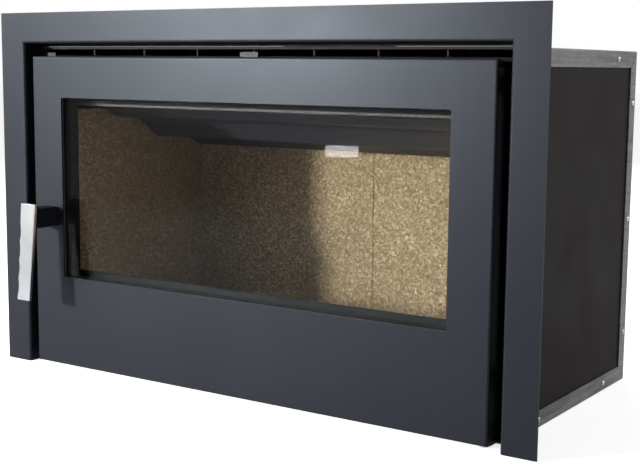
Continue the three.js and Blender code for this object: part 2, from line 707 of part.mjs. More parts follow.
function flueCollar() {
  const inner = FLUE_RADIUS - FLUE_WALL;
  const flange = FIREBOX_TOP + GAP;
  return revolve(0, FLUE_DEPTH, [
    [inner, CEILING],
    [FLUE_RADIUS, CEILING],
    [FLUE_RADIUS, flange],
    [FLUE_RADIUS + FLUE_FLANGE, flange],
    [FLUE_RADIUS + FLUE_FLANGE, flange + FLUE_FLANGE_SHEET],
    [FLUE_RADIUS, flange + FLUE_FLANGE_SHEET],
    [FLUE_RADIUS, FLUE_TOP],
    [inner, FLUE_TOP],
    [inner, CEILING],
  ], FLUE_SIDES);
}

// the fins stand either side of the collar, and the middle one stops before it
function fin(index) {
  const x = (index - (FIN_COUNT - 1) / 2) * FIN_PITCH;
  const rear = x === 0 ? FLUE_DEPTH - FIN_PITCH : FIREBOX_REAR - FIN_REAR_ROOM;
  return block(
    x - FIN_SHEET / 2, x + FIN_SHEET / 2,
    FRONT_FRAME_FACE + FIN_END_ROOM, rear,
    FIREBOX_TOP + GAP, CASING_HEIGHT - CASING_SHEET - GAP,
  );
}

function supportRail() {
  const top = FIREBOX_BOTTOM - GAP;
  const foot = CASING_SHEET + GAP;
  const web = HALF_FIREBOX - RAIL_INSET;
  return alongY(folded([
    [web + RAIL_FOOT, top],
    [web, top],
    [web, foot],
    [web + RAIL_FOOT, foot],
  ], RAIL_SHEET, RAIL_SHEET / 2), FIREBOX_FRONT + RAIL_FRONT_ROOM, FIREBOX_REAR - RAIL_REAR_ROOM);
}

piece('firebox_shell', geometryOf(fireboxShell()), finish.firebox);
piece('firebox_front_frame', geometryOf(frontFrame()), finish.firebox);
piece('air_slider', geometryOf(airSlider()), finish.bracket);
piece('air_wash_deflector', geometryOf(deflector()), finish.galvanised);
piece('flue_collar', geometryOf(flueCollar()), finish.black);
for (let i = 0; i < FIN_COUNT; i += 1) {
  piece(`convection_fin_${i + 1}`, geometryOf(fin(i)), finish.galvanised);
}
piece('support_rail_right', geometryOf(supportRail()), finish.firebox);
piece('support_rail_left', geometryOf(mirrorX(supportRail())), finish.firebox);

// ---------------------------------------------------------------- lining

const baffleUpperEnd = BAFFLE_FRONT + BAFFLE_LIP_RUN + BAFFLE_UPPER_RUN;
const baffleRestStart = BACK_BOARD_FACE - BAFFLE_REST_OVERHANG;
const baffleUnderside = [
  [BAFFLE_FRONT, CEILING - BAFFLE_FRONT_DROP],
  [BAFFLE_FRONT + BAFFLE_LIP_RUN, CEILING - BAFFLE_UPPER_DROP],
  [baffleUpperEnd, CEILING - BAFFLE_UPPER_DROP - BAFFLE_UPPER_FALL],
  [baffleUpperEnd + BAFFLE_STEP_RUN, CEILING - BAFFLE_LOWER_DROP],
  [baffleRestStart - BAFFLE_TAIL_RUN, CEILING - BAFFLE_LOWER_DROP - BAFFLE_LOWER_FALL],
  [baffleRestStart, BAFFLE_REST],
  [BACK_BOARD_REAR, BAFFLE_REST],
];

// folded sheet that lies on the tops of the side and back boards
function baffle() {
  return alongX(folded(baffleUnderside, BAFFLE_SHEET, BAFFLE_BEND), -BOARD_OUTER, BOARD_OUTER);
}

// its top edge follows the baffle's underside
function sideBoard() {
  const seat = baffleUnderside.map(([y, z]) => [y, z - GAP]).reverse();
  return alongX(polygon([
    [BOARD_FRONT, FLOOR_TOP + GAP],
    [BACK_BOARD_REAR, FLOOR_TOP + GAP],
    ...seat,
    [BOARD_FRONT, CEILING - BAFFLE_FRONT_DROP - GAP],
  ]), BOARD_INNER, BOARD_OUTER);
}

function backBoard() {
  return block(
    GAP / 2, BOARD_INNER - GAP,
    BACK_BOARD_FACE, BACK_BOARD_REAR,
    FLOOR_TOP + GAP, BAFFLE_REST - GAP,
  );
}

function floorBoard() {
  return block(
    -BOARD_OUTER, BOARD_OUTER,
    BOARD_FRONT, BACK_BOARD_REAR,
    CHAMBER_FLOOR + GAP, FLOOR_TOP,
  );
}

piece('baffle', geometryOf(baffle()), finish.baffle);
piece('lining_board_right', geometryOf(sideBoard()), finish.board);
piece('lining_board_left', geometryOf(mirrorX(sideBoard())), finish.board);
piece('lining_board_back_right', geometryOf(backBoard()), finish.board);
piece('lining_board_back_left', geometryOf(mirrorX(backBoard())), finish.board);
piece('lining_board_floor', geometryOf(floorBoard()), finish.board);

// ---------------------------------------------------------------- door

// a block whose edges on the front face are round, like a pressed tray
function trayBlock(half, front, rear, bottom, top, radius) {
  const quarter = Math.PI / 2;
  const plan = new THREE.Shape([
    ...arc(-half + radius, front + radius, radius, 2 * quarter, 3 * quarter),
    ...arc(half - radius, front + radius, radius, -quarter, 0),
    new THREE.Vector2(half, rear),
    new THREE.Vector2(-half, rear),
  ]);
  const side = new THREE.Shape([
    new THREE.Vector2(rear, bottom),
    new THREE.Vector2(rear, top),
    ...arc(front + radius, top - radius, radius, quarter, 2 * quarter),
    ...arc(front + radius, bottom + radius, radius, 2 * quarter, 3 * quarter),
  ]);
  return alongZ(plan, bottom, top).intersect(alongX(side, -half, half));
}

// room in the door for the hinge arms, behind the front sheet
function hingeNotches() {
  const left = HINGE_X - ARM_NOTCH;
  const lower = ARM_LOWER + ARM_SHEET + NOTCH_ROOM;
  const upper = ARM_UPPER - NOTCH_ROOM;
  const lowerNotch = alongX(polygon([
    [DOOR_SHEET, -1],
    [DOOR_DEPTH + 1, -1],
    [DOOR_DEPTH + 1, lower + NOTCH_SLOPE],
    [DOOR_SHEET, lower],
  ]), left, HALF_DOOR + 1);
  const upperNotch = block(left, HALF_DOOR + 1, DOOR_SHEET, DOOR_DEPTH + 1, upper, DOOR_TOP + 1);
  return join(lowerNotch, upperNotch);
}

function doorShell() {
  const s = DOOR_SHEET;
  const outside = trayBlock(HALF_DOOR, 0, DOOR_DEPTH, DOOR_BOTTOM, DOOR_TOP, DOOR_BEND + s);
  const inside = trayBlock(HALF_DOOR - s, s, DOOR_DEPTH + 1, DOOR_BOTTOM + s, DOOR_TOP - s, DOOR_BEND);
  const window = roundedRectangle(-HALF_WINDOW, HALF_WINDOW, WINDOW_BOTTOM, WINDOW_TOP, WINDOW_CORNER);
  const spindleHole = roundY(HANDLE_X, HANDLE_Z, SPINDLE_RADIUS + RUNNING, -1, s + 1);
  const tabCentre = TAB_INSET - HALF_DOOR;
  const tab = block(
    tabCentre - TAB_WIDTH / 2, tabCentre + TAB_WIDTH / 2,
    s + TAB_SETBACK, 2 * s + TAB_SETBACK,
    DOOR_TOP - s / 2, DOOR_TOP + TAB_HEIGHT,
  );
  const tray = cut(outside, inside, alongY(window, -1, s + 1), spindleHole, hingeNotches());
  return join(tray, tab);
}

function windowRectangle(margin, corner) {
  return roundedRectangle(
    -HALF_WINDOW - margin, HALF_WINDOW + margin,
    WINDOW_BOTTOM - margin, WINDOW_TOP + margin, corner,
  );
}

function glassPane() {
  return alongY(windowRectangle(GLASS_OVERLAP, WINDOW_CORNER), GLASS_FACE, GLASS_FACE + GLASS_THICKNESS);
}

function glassGasket() {
  const outer = windowRectangle(GLASS_OVERLAP, WINDOW_CORNER);
  const inner = windowRectangle(0, WINDOW_CORNER);
  return ring(outer, inner, GASKET_FACE, GASKET_FACE + GASKET_THICKNESS);
}

// a channel round the window: its web presses the glass, its inner wall lines
// the opening back to the firebox, and its outer wall meets the inner panel
function glassRetainer() {
  const inner = RETAINER_SETBACK;
  const outer = RETAINER_SETBACK + RETAINER_CHANNEL;
  const sheet = RETAINER_SHEET;
  const rectangle = (margin) => windowRectangle(margin, WINDOW_CORNER);
  return join(
    ring(rectangle(outer), rectangle(inner), RETAINER_FACE, RETAINER_FACE + sheet),
    ring(rectangle(inner + sheet), rectangle(inner), RETAINER_FACE, RETAINER_REAR),
    ring(rectangle(outer), rectangle(outer - sheet), RETAINER_FACE, PANEL_FACE - GAP),
  );
}

function sealRectangle(margin) {
  return windowRectangle(SEAL_MARGIN + margin, SEAL_CORNER + margin);
}

const keeperLipEnd = HANDLE_X - CAM_REACH - KEEPER_CLEAR;
const keeperBack = keeperLipEnd - KEEPER_LIP - KEEPER_SHEET;

// closes the back of the tray, with a ribbed groove for the rope seal
function doorInnerPanel() {
  const clear = DOOR_SHEET + GAP;
  const plate = block(
    -HALF_DOOR + clear, HALF_DOOR - clear,
    PANEL_FACE, PANEL_REAR,
    DOOR_BOTTOM + clear, DOOR_TOP - clear,
  );
  const opening = windowRectangle(RETAINER_SETBACK + RETAINER_SHEET + GAP, WINDOW_CORNER);
  const groove = SEAL_RADIUS + GAP;
  const ribs = [-groove - SEAL_RIB, groove].map((margin) => (
    ring(
      sealRectangle(margin + SEAL_RIB), sealRectangle(margin),
      PANEL_REAR - PANEL_SHEET / 2, PANEL_REAR + SEAL_RIB_HEIGHT,
    )
  ));
  const keeperSlot = block(
    keeperBack - KEEPER_ROOM, keeperLipEnd + KEEPER_ROOM,
    PANEL_FACE - 1, PANEL_REAR + 1,
    HANDLE_Z - KEEPER_HEIGHT / 2 - KEEPER_ROOM, HANDLE_Z + KEEPER_HEIGHT / 2 + KEEPER_ROOM,
  );
  const holed = cut(plate, alongY(opening, PANEL_FACE - 1, PANEL_REAR + 1), hingeNotches(), keeperSlot);
  return join(holed, ...ribs);
}

// a line of points that a round section is swept through
class Route extends THREE.Curve {
  constructor(points) {
    super();
    this.points = points;
  }

  getPoint(t) {
    const at = t * (this.points.length - 1);
    const i = Math.min(Math.floor(at), this.points.length - 2);
    return this.points[i].clone().lerp(this.points[i + 1], at - i);
  }

  getPointAt(u) {
    return this.getPoint(u);
  }

  getTangentAt(u) {
    return this.getTangent(u);
  }
}

// a rope laid in the groove; its ends meet under the middle of the window
function ropeSeal() {
  const centre = PANEL_REAR + GAP + SEAL_RADIUS;
  const bottom = WINDOW_BOTTOM - SEAL_MARGIN;
  const around = sealRectangle(0).getPoints();
  const start = around.findIndex((p) => p.x > 0 && p.y < bottom + GAP);
  const outline = [
    new THREE.Vector2(GAP / 2, bottom),
    ...around.slice(start),
    ...around.slice(0, start),
    new THREE.Vector2(-GAP / 2, bottom),
  ];
  const route = new Route(outline.map((p) => new THREE.Vector3(p.x, centre, p.y)));
  const section = new THREE.Shape().absarc(0, 0, SEAL_RADIUS, 0, 2 * Math.PI);
  return solid(new THREE.ExtrudeGeometry(section, {
    steps: outline.length - 1,
    extrudePath: route,
    bevelEnabled: false,
    curveSegments: SEAL_SIDES,
  }));
}

piece('door_shell', geometryOf(doorShell()), finish.door);
piece('door_glass', geometryOf(glassPane()), finish.glass);
piece('glass_gasket', geometryOf(glassGasket()), finish.gasket);
piece('glass_retainer', geometryOf(glassRetainer()), finish.black);
piece('door_inner_panel', geometryOf(doorInnerPanel()), finish.firebox);
piece('door_rope_seal', geometryOf(ropeSeal()), finish.gasket);

// ---------------------------------------------------------------- hinges

// a flat arm from the front frame forward to a round nose about the pin
function hingeArm(underside) {
  const nose = arc(HINGE_X, HINGE_DEPTH, ARM_RADIUS, Math.PI, 2 * Math.PI, false, ROUND / 2);
  const back = FRONT_FRAME_FACE - GAP;
  const outline = new THREE.Shape([
    ...nose,
    new THREE.Vector2(HINGE_X + ARM_RADIUS, back),
    new THREE.Vector2(HINGE_X - ARM_RADIUS, back),
  ]);
  const arm = alongZ(outline, underside, underside + ARM_SHEET);
  const bore = PIN_RADIUS + RUNNING;
  return cut(arm, roundZ(HINGE_X, HINGE_DEPTH, bore, underside - 1, underside + ARM_SHEET + 1));
}

function bush(bottom) {
  const bore = PIN_RADIUS + RUNNING;
  return cut(
    roundZ(HINGE_X, HINGE_DEPTH, BUSH_RADIUS, bottom, bottom + BUSH_LENGTH),
    roundZ(HINGE_X, HINGE_DEPTH, bore, bottom - 1, bottom + BUSH_LENGTH + 1),
  );
}

const armLowerTop = ARM_LOWER + ARM_SHEET;
const armUpperTop = ARM_UPPER + ARM_SHEET;

// each pin goes through its arm into the bush, with its head outside the arm
function pinUpper() {
  const head = armUpperTop + GAP;
  return join(
    roundZ(HINGE_X, HINGE_DEPTH, PIN_RADIUS, ARM_UPPER - BUSH_LENGTH, head + PIN_HEAD / 2),
    roundZ(HINGE_X, HINGE_DEPTH, PIN_HEAD_RADIUS, head, head + PIN_HEAD),
  );
}

function pinLower() {
  const head = ARM_LOWER - GAP;
  return join(
    roundZ(HINGE_X, HINGE_DEPTH, PIN_RADIUS, head - PIN_HEAD / 2, armLowerTop + BUSH_LENGTH),
    roundZ(HINGE_X, HINGE_DEPTH, PIN_HEAD_RADIUS, head - PIN_HEAD, head),
  );
}

piece('hinge_bracket_upper', geometryOf(hingeArm(ARM_UPPER)), finish.bracket);
piece('hinge_bracket_lower', geometryOf(hingeArm(ARM_LOWER)), finish.bracket);
piece('hinge_pin_upper', geometryOf(pinUpper()), finish.bright);
piece('hinge_pin_lower', geometryOf(pinLower()), finish.bright);
piece('hinge_bush_upper', geometryOf(bush(ARM_UPPER - BUSH_PLAY - BUSH_LENGTH)), finish.firebox);
piece('hinge_bush_lower', geometryOf(bush(armLowerTop + BUSH_PLAY)), finish.firebox);

// ---------------------------------------------------------------- handle

// tips a piece drawn upright, so that its lower end stands further out
function lean(body) {
  return body
    .translate([0, -STEM_FRONT, -HANDLE_Z])
    .rotate([-GRIP_LEAN, 0, 0])
    .translate([0, STEM_FRONT, HANDLE_Z]);
}

// a tapering strip drawn in X and Z, with finger scallops down its left edge
function gripOutline(margin) {
  const left = HANDLE_X - GRIP_WIDTH / 2 + margin;
  const right = HANDLE_X + GRIP_WIDTH / 2 - margin;
  const top = GRIP_TOP - margin;
  const bottom = GRIP_TOP - GRIP_LENGTH + margin;
  const half = SCALLOP_PITCH / 2;
  const radius = (half * half + SCALLOP_DEPTH * SCALLOP_DEPTH) / (2 * SCALLOP_DEPTH);
  const sweep = Math.asin(half / radius);
  const scallops = Array.from({ length: SCALLOP_COUNT }, (_, i) => {
    const z = GRIP_TOP - SCALLOP_START - (i + 0.5) * SCALLOP_PITCH;
    return arc(left - radius + SCALLOP_DEPTH, z, radius, sweep, -sweep, true, 6);
  });
  return new THREE.Shape([
    new THREE.Vector2(right, top),
    new THREE.Vector2(left, top),
    ...scallops.flat(),
    new THREE.Vector2(left, bottom),
    new THREE.Vector2(right - GRIP_TAPER, bottom),
  ]);
}

function handleGrip() {
  const grip = new THREE.ExtrudeGeometry(gripOutline(0), {
    depth: GRIP_THICKNESS - 2 * GRIP_EDGE,
    bevelThickness: GRIP_EDGE,
    bevelSize: GRIP_EDGE,
    bevelOffset: -GRIP_EDGE,
    bevelSegments: 2,
  }).rotateX(Math.PI / 2);
  const back = STEM_FRONT + BACKING_SEAT - BACKING_THICKNESS - GAP;
  return lean(solid(grip.translate(0, back - GRIP_EDGE, 0)));
}

// a square stem off the door, with the strip that carries the grip
function handleStem() {
  const half = STEM_WIDTH / 2;
  const bar = roundedRectangle(
    HANDLE_X - half, HANDLE_X + half,
    HANDLE_Z - half, HANDLE_Z + half, STEM_CORNER,
  );
  const rear = STEM_FRONT + BACKING_SEAT;
  const strip = alongY(gripOutline(BACKING_SETBACK), rear - BACKING_THICKNESS, rear);
  return join(alongY(bar, STEM_FRONT, STEM_BACK), lean(strip));
}

// the spindle through the door, and the tongue that turns behind the keeper
function latchCam() {
  const spindle = roundY(HANDLE_X, HANDLE_Z, SPINDLE_RADIUS, STEM_BACK + GAP, CAM_REAR);
  const hub = roundY(HANDLE_X, HANDLE_Z, CAM_HUB_RADIUS, CAM_FACE, CAM_REAR);
  const tongue = block(
    HANDLE_X - CAM_REACH, HANDLE_X,
    CAM_FACE, CAM_REAR,
    HANDLE_Z - CAM_TIP_HEIGHT / 2, HANDLE_Z + CAM_TIP_HEIGHT / 2,
  );
  return join(spindle, hub, tongue);
}

function latchKeeper() {
  const front = CAM_FACE - GAP - KEEPER_SHEET;
  return alongZ(folded([
    [keeperBack, FRONT_FRAME_FACE - GAP],
    [keeperBack, front],
    [keeperLipEnd, front],
  ], KEEPER_SHEET, KEEPER_SHEET / 4), HANDLE_Z - KEEPER_HEIGHT / 2, HANDLE_Z + KEEPER_HEIGHT / 2);
}

piece('handle_stem', geometryOf(handleStem()), finish.black);
piece('handle_grip', geometryOf(handleGrip()), finish.stainless);
piece('latch_cam', geometryOf(latchCam()), finish.bracket);
piece('latch_keeper', geometryOf(latchKeeper()), finish.bracket);

// the origin goes to the middle of the casing's underside
object.position.y = -(CASING_FRONT + CASING_DEPTH / 2);

export default object;
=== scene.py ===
import json
import math

import bmesh
import bpy
from mathutils import Matrix, Vector


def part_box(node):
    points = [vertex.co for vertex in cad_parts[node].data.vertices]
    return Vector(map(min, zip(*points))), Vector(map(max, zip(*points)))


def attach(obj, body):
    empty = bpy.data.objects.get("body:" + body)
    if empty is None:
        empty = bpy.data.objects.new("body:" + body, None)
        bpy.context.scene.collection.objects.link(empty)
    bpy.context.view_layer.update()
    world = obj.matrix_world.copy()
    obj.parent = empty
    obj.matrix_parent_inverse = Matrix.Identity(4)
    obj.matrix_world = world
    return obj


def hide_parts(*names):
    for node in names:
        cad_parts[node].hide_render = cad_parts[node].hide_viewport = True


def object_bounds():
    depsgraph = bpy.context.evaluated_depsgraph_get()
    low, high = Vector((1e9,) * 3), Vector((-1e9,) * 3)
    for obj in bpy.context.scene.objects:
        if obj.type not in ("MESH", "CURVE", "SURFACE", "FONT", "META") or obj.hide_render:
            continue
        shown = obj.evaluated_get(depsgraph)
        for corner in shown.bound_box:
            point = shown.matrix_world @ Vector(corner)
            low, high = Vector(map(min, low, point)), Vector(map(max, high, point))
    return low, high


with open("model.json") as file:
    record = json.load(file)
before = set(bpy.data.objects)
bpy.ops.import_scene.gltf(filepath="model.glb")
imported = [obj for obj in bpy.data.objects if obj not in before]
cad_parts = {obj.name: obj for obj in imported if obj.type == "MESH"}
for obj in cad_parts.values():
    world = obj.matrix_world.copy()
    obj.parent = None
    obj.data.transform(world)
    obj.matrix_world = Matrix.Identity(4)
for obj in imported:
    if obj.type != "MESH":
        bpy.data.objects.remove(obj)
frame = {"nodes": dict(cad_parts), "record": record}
CAD_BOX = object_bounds()
NODES = frame["nodes"]
SLOT_OF = {row["node"]: row["material_slot"] for row in frame["record"]["subparts"]}
BODY_OF = {
    node: body
    for body, nodes in frame["record"]["behaviour"]["bodies"].items()
    for node in nodes
}

MM = 0.001
FRONT_Y = -0.2125          # the trim's front face, seen from the frame's origin

# ------------------------------------------------------------------ materials

COLD_GLOSS = (0.74, 0.85, 1.0)
WARM_GLOSS = (1.0, 0.92, 0.88)
PAINT_BASE = (0.0105, 0.0115, 0.0155)
ZINC_DARK = (0.135, 0.135, 0.135)
ZINC_PALE = (0.275, 0.275, 0.27)
SPANGLE = 70.0             # zinc crystals to the metre
FINE_SPANGLE = 238.0
# Painted shade in the slot behind the trim's top return: its colour, how deep it reaches, its
# fade and its ragged edge.
PAINTED_SHADE = (0.008, 0.0078, 0.008)
PAINTED_SHADE_DEPTH = 0.075         # from the trim's front face back to where the painted shade fades
PAINTED_SHADE_FADE = 0.02
PAINTED_SHADE_RAGGED = 0.006


class Nodes:
    """A node tree. add gives the new node, the other methods its output."""

    def __init__(self, tree):
        self.tree = tree

    def add(self, kind, **settings):
        node = self.tree.nodes.new(kind)
        for key, value in settings.items():
            setattr(node, key, value)
        return node

    def link(self, source, socket):
        self.tree.links.new(source, socket)

    def feed(self, socket, value):
        if isinstance(value, bpy.types.NodeSocket):
            self.link(value, socket)
        else:
            socket.default_value = value

    def math(self, operation, a, b):
        node = self.add("ShaderNodeMath", operation=operation)
        self.feed(node.inputs[0], a)
        self.feed(node.inputs[1], b)
        return node.outputs[0]

    def span(self, value, low, high, start=0.0, end=1.0):
        """The value from start to end, carried over to low to high."""
        node = self.add("ShaderNodeMapRange")
        self.feed(node.inputs["Value"], value)
        for socket, number in zip(node.inputs[1:5], (start, end, low, high)):
            socket.default_value = number
        return node.outputs[0]


class Shader(Nodes):
    """A material with one Principled shader, written from the surface up."""

    def __init__(self, name):
        self.material = bpy.data.materials.new(name)
        self.material.use_nodes = True
        super().__init__(self.material.node_tree)
        self.tree.nodes.clear()
        self.output = self.add("ShaderNodeOutputMaterial")
        self.surface = self.add("ShaderNodeBsdfPrincipled")
        self.link(self.surface.outputs[0], self.output.inputs["Surface"])
        self.place = self.add("ShaderNodeTexCoord").outputs["Object"]

    def set(self, **values):
        for key, value in values.items():
            self.feed(self.surface.inputs[key.replace("_", " ")], value)

    def stretched(self, x, y, z, turn=(0, 0, 0)):
        node = self.add("ShaderNodeMapping")
        self.link(self.place, node.inputs["Vector"])
        node.inputs["Rotation"].default_value = turn
        node.inputs["Scale"].default_value = (x, y, z)
        return node.outputs[0]

    def noise(self, scale, detail=2.0, rough=0.5, warp=0.0, at=None):
        node = self.add("ShaderNodeTexNoise")
        self.link(at or self.place, node.inputs["Vector"])
        node.inputs["Scale"].default_value = scale
        node.inputs["Detail"].default_value = detail
        node.inputs["Roughness"].default_value = rough
        node.inputs["Distortion"].default_value = warp
        return node.outputs["Fac"]

    def cells(self, scale, at=None):
        """A colour of its own in each cell."""
        node = self.add("ShaderNodeTexVoronoi")
        self.link(at or self.place, node.inputs["Vector"])
        node.inputs["Scale"].default_value = scale
        return node.outputs["Color"]

    def grey(self, color):
        node = self.add("ShaderNodeRGBToBW")
        self.link(color, node.inputs[0])
        return node.outputs[0]

    def vector(self, operation, a, b=None):
        node = self.add("ShaderNodeVectorMath", operation=operation)
        self.feed(node.inputs[0], a)
        if b is not None:
            self.feed(node.inputs[1], b)
        return node.outputs[0]

    def mix(self, share, a, b, blend="MIX"):
        node = self.add("ShaderNodeMix", data_type="RGBA", blend_type=blend)
        self.feed(node.inputs["Factor"], share)
        for socket, value in zip(node.inputs[6:8], (a, b)):
            self.feed(socket, (*value, 1) if isinstance(value, tuple) else value)
        return node.outputs[2]

    def ramp(self, value, *stops):
        node = self.add("ShaderNodeValToRGB")
        self.link(value, node.inputs[0])
        marks = node.color_ramp.elements
        while len(marks) < len(stops):
            marks.new(0.5)
        for mark, (at, color) in zip(marks, stops):
            mark.position = at
            mark.color = (*color, 1)
        return node.outputs["Color"]

    def height(self, value, distance, strength=1.0, under=None):
        node = self.add("ShaderNodeBump")
        self.link(value, node.inputs["Height"])
        node.inputs["Distance"].default_value = distance
        node.inputs["Strength"].default_value = strength
        if under is not None:
            self.link(under, node.inputs["Normal"])
        return node.outputs[0]

    def join(self, kind, second, share=None):
        """Mix the surface with a second shader, or add the two without a share."""
        both = self.add(kind)
        first_input = 0
        if share is not None:
            self.link(share, both.inputs[0])
            first_input = 1
        self.link(self.surface.outputs[0], both.inputs[first_input])
        self.link(second.outputs[0], both.inputs[first_input + 1])
        self.link(both.outputs[0], self.output.inputs["Surface"])


def paint(name, base, light, rough=(0.35, 0.39), grain=1400.0, gloss=0.16, sheen=COLD_GLOSS):
    """Baked heat-proof paint: orange peel, cloudy tone, upright streaks, a little dust."""
    s = Shader(name)
    s.set(Specular_IOR_Level=gloss, Specular_Tint=(*sheen, 1))
    cloud = s.noise(5.0, detail=4.0, rough=0.6, warp=0.4)
    streaks = s.noise(420.0, detail=3.0, rough=0.6, at=s.stretched(1.0, 1.0, 0.012))
    tint = s.mix(s.mix(0.5, cloud, streaks), base, light)
    dust = s.span(s.noise(260.0, detail=3.0, rough=0.7), 0.0, 0.35, start=0.62, end=0.8)
    s.set(Base_Color=s.mix(dust, tint, tuple(1.6 * c + 0.01 for c in light)))
    smear = s.noise(9.0, detail=3.0, rough=0.5, warp=0.6)
    s.set(Roughness=s.span(smear, *rough, start=0.3, end=0.7))
    peel = s.height(s.noise(grain), distance=0.00006, strength=0.5)
    waves = s.noise(7.0, detail=1.0)
    s.set(Normal=s.height(waves, distance=0.0002, strength=0.04, under=peel))
    return s.material


def galvanised(name, dark, pale, rough=(0.34, 0.55), shade_painted=False):
    """Zinc-dipped sheet: spangles, cloudy oxide, rolling streaks and scratches, and on request
    a near-black painted shade towards its front.
    """
    s = Shader(name)
    grain = s.grey(s.cells(SPANGLE, at=s.stretched(1.0, 1.0, 1.0, (0.4, 0.2, 0.7))))
    fine = s.grey(s.cells(FINE_SPANGLE))
    mottled = s.mix(s.span(fine, 0.0, 0.35), s.mix(grain, dark, pale), pale)
    oxide = s.noise(9.0, detail=5.0, rough=0.65, warp=0.8)
    cloud = s.span(oxide, 0.0, 0.55, start=0.45, end=0.75)
    color = s.mix(cloud, mottled, tuple(0.55 * c for c in dark))
    scored = s.noise(38.0, detail=3.0, rough=0.7, warp=0.2, at=s.stretched(1.0, 0.04, 1.0))
    scratch = s.span(scored, 0.0, 1.0, start=0.62, end=0.7)
    streaks = s.noise(190.0, detail=4.0, rough=0.65, at=s.stretched(1.0, 0.03, 1.0))
    rolled = s.span(streaks, 0.55, 1.25, start=0.3, end=0.7)
    color = s.mix(1.0, color, rolled, "MULTIPLY")
    roughness = s.math("ADD", s.span(grain, *rough), s.span(scratch, 0.0, 0.18))
    metallic = 0.9
    # Painted shade: near-black, rough and not metallic from the front back to a ragged edge,
    # where the trim's top return keeps the slot out of the light.
    if shade_painted:
        place = s.add("ShaderNodeSeparateXYZ")
        s.link(s.place, place.inputs[0])
        ragged = s.span(s.noise(60.0, detail=4.0), -PAINTED_SHADE_RAGGED, PAINTED_SHADE_RAGGED)
        depth = s.math("ADD", place.outputs["Y"], ragged)
        start = FRONT_Y + PAINTED_SHADE_DEPTH
        painted_shade = s.span(depth, 1.0, 0.0, start=start, end=start + PAINTED_SHADE_FADE)
        color = s.mix(painted_shade, color, PAINTED_SHADE)
        roughness = s.math("MAXIMUM", roughness, s.span(painted_shade, 0.0, 0.78))
        metallic = s.span(painted_shade, metallic, 0.0)
    s.set(Base_Color=color, Roughness=roughness, Metallic=metallic)
    s.set(Normal=s.height(s.math("ADD", grain, scratch), distance=0.00005, strength=0.5))
    return s.material


def bare_steel(name, dark, pale, rough, grain=900.0, relief=0.6):
    """Brushed or ground steel with its grain upright."""
    s = Shader(name)
    lines = s.noise(grain, detail=3.0, rough=0.7, at=s.stretched(1.0, 1.0, 0.02))
    cloud = s.noise(30.0, detail=3.0, rough=0.6, warp=0.5)
    share = s.span(s.math("MULTIPLY", lines, cloud), 0.0, 1.0, start=0.1, end=0.4)
    s.set(Base_Color=s.mix(share, dark, pale), Metallic=1.0)
    s.set(Roughness=s.span(lines, *rough, start=0.3, end=0.7))
    s.set(Normal=s.height(lines, distance=0.00003, strength=relief))
    return s.material


def mineral_board(name):
    """Pressed vermiculite: gold and brown flakes, each with its own facing."""
    s = Shader(name)
    facing = s.cells(330.0, at=s.stretched(1.0, 1.0, 1.2))
    flakes = s.grey(facing)
    gold = s.ramp(
        flakes,
        (0.0, (0.14, 0.099, 0.060)),
        (0.35, (0.26, 0.188, 0.115)),
        (0.65, (0.36, 0.270, 0.163)),
        (1.0, (0.66, 0.54, 0.36)),
    )
    smoke = s.noise(6.0, detail=4.0, rough=0.6, warp=0.6)
    stain = s.span(smoke, 0.0, 0.35, start=0.4, end=0.75)
    s.set(Base_Color=s.mix(stain, gold, (0.23, 0.165, 0.105)), Specular_IOR_Level=0.25)
    s.set(Roughness=s.span(flakes, 0.95, 0.6))
    tilt = s.vector("MULTIPLY", s.vector("SUBTRACT", facing, (0.5, 0.5, 0.5)), (1.1, 1.1, 1.1))
    normal = s.add("ShaderNodeNewGeometry").outputs["Normal"]
    tilted = s.vector("NORMALIZE", s.vector("ADD", normal, tilt))
    grit = s.noise(700.0, detail=3.0, rough=0.7)
    s.set(Normal=s.height(grit, distance=0.0004, strength=0.6, under=tilted))
    return s.material


def mill_scale(name):
    """Hot-rolled plate: blue-grey scale with brown heat bloom."""
    s = Shader(name)
    scale = s.noise(26.0, detail=6.0, rough=0.65, warp=1.0)
    bloom = s.span(s.noise(4.0, detail=4.0, rough=0.6, warp=0.7), 0.0, 0.5, start=0.45, end=0.8)
    blue = s.mix(scale, (0.024, 0.027, 0.040), (0.070, 0.074, 0.098))
    s.set(Base_Color=s.mix(bloom, blue, (0.055, 0.045, 0.043)), Metallic=0.4)
    s.set(Roughness=s.span(scale, 0.42, 0.68))
    pits = s.noise(240.0, detail=4.0, rough=0.7)
    s.set(Normal=s.height(pits, distance=0.00012, strength=0.6))
    return s.material


def window_glass(name):
    """Ceramic glass, with a Transparent shader for the lamps' rays."""
    s = Shader(name)
    film = s.noise(11.0, detail=5.0, rough=0.7, warp=1.0)
    s.set(Base_Color=(0.93, 0.94, 0.93, 1), Transmission_Weight=1.0, IOR=1.15)
    s.set(Roughness=s.span(film, 0.0, 0.01, start=0.55, end=0.9))
    clear = s.add("ShaderNodeBsdfTransparent")
    clear.inputs["Color"].default_value = (0.9, 0.92, 0.91, 1)
    s.join("ShaderNodeMixShader", clear, s.add("ShaderNodeLightPath").outputs["Is Shadow Ray"])
    return s.material


def woven_fibre(name):
    """Graphited glass-fibre yarn, with broken grey filaments."""
    s = Shader(name)
    lay = s.stretched(1.0, 1.0, 0.35, (0.6, 0.3, 0.5))
    yarn = s.noise(1600.0, detail=3.0, rough=0.7, at=lay)
    fluff = s.span(s.noise(90.0, detail=4.0, rough=0.7), 0.0, 0.4, start=0.5, end=0.8)
    dark = s.mix(yarn, (0.012, 0.012, 0.014), (0.07, 0.07, 0.078))
    s.set(Base_Color=s.mix(fluff, dark, (0.16, 0.155, 0.15)))
    s.set(Roughness=s.span(yarn, 0.95, 0.7), Sheen_Weight=0.3)
    s.set(Normal=s.height(yarn, distance=0.0004, strength=0.8))
    return s.material


